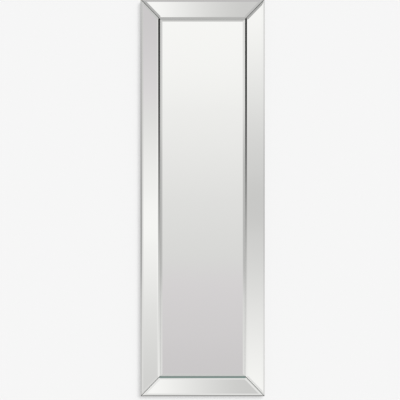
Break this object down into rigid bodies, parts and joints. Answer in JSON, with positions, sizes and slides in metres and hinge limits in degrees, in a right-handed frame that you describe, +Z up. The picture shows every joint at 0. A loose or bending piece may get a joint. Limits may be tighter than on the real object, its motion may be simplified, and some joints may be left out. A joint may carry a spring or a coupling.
{
  "type": "over the door mirror",
  "caption": "Tall bevelled mirror in a tray of mitred bevelled mirror strips, hung by padded steel hooks that slide on slots and go over a door's top edge, or by ring hangers on a wall.",
  "frame": {"origin": "on the line where a door's top edge meets the face the mirror hangs on, midway between the two hooks", "axes": "+X to the right seen from the front, the mirror faces -Y and the door is on +Y, +Z up"},
  "size_m": [0.38, 0.0861, 1.2748],
  "materials": {
    "silvered_glass": "silvered float glass with ground and polished bevels",
    "silver_lacquer": "satin silver lacquer on fibreboard",
    "black_fibreboard": "matt black painted fibreboard",
    "foam_tape": "white double-sided foam tape",
    "nickel_plate": "bright nickel plate on steel",
    "white_enamel": "satin white powder coat on steel strap",
    "felt_pad": "pale grey pressed felt",
    "clear_rubber": "translucent soft rubber"
  },
  "bodies": {
    "mirror_frame": {"centre_mirror": "silvered_glass", "bottom_mirror_strip": "silvered_glass", "left_mirror_strip": "silvered_glass", "top_mirror_strip": "silvered_glass", "right_mirror_strip": "silvered_glass", "bottom_rail": "silver_lacquer", "left_rail": "silver_lacquer", "top_rail": "silver_lacquer", "right_rail": "silver_lacquer", "base_board": "black_fibreboard", "bottom_strip_tape": "foam_tape", "left_strip_tape": "foam_tape", "top_strip_tape": "foam_tape", "right_strip_tape": "foam_tape", "left_centre_tape": "foam_tape", "middle_centre_tape": "foam_tape", "right_centre_tape": "foam_tape", "bottom_board_screw_1": "nickel_plate", "left_board_screw_1": "nickel_plate", "left_board_screw_2": "nickel_plate", "left_board_screw_3": "nickel_plate", "left_board_screw_4": "nickel_plate", "top_board_screw_1": "nickel_plate", "right_board_screw_1": "nickel_plate", "right_board_screw_2": "nickel_plate", "right_board_screw_3": "nickel_plate", "right_board_screw_4": "nickel_plate", "left_upper_hook_washer": "nickel_plate", "left_upper_hook_screw": "nickel_plate", "left_lower_hook_washer": "nickel_plate", "left_lower_hook_screw": "nickel_plate", "right_upper_hook_washer": "nickel_plate", "right_upper_hook_screw": "nickel_plate", "right_lower_hook_washer": "nickel_plate", "right_lower_hook_screw": "nickel_plate", "left_hanger_plate": "nickel_plate", "left_hanger_screw": "nickel_plate", "right_hanger_plate": "nickel_plate", "right_hanger_screw": "nickel_plate", "upper_left_bumper": "clear_rubber", "upper_right_bumper": "clear_rubber", "lower_left_bumper": "clear_rubber", "lower_right_bumper": "clear_rubber"},
    "left_hook": {"left_door_hook": "white_enamel", "left_hook_seat_pad": "felt_pad", "left_hook_front_pad": "felt_pad", "left_hook_rear_pad": "felt_pad"},
    "right_hook": {"right_door_hook": "white_enamel", "right_hook_seat_pad": "felt_pad", "right_hook_front_pad": "felt_pad", "right_hook_rear_pad": "felt_pad"},
    "left_ring": {"left_hanger_ring": "nickel_plate"},
    "right_ring": {"right_hanger_ring": "nickel_plate"}
  },
  "joints": [
    {"name": "left_hook_slide", "type": "slide", "parent": "mirror_frame", "child": "left_hook", "axis": [0, 0, 1], "range_m": [0, 0.04]},
    {"name": "left_ring_hinge", "type": "hinge", "parent": "mirror_frame", "child": "left_ring", "pos_m": [-0.164, -0.00385, -0.22], "axis": [1, 0, 0], "range_deg": [0, 175]},
    {"name": "right_hook_slide", "type": "slide", "parent": "mirror_frame", "child": "right_hook", "axis": [0, 0, 1], "range_m": [0, 0.04]},
    {"name": "right_ring_hinge", "type": "hinge", "parent": "mirror_frame", "child": "right_ring", "pos_m": [0.164, -0.00385, -0.22], "axis": [1, 0, 0], "range_deg": [0, 175]}
  ]
}
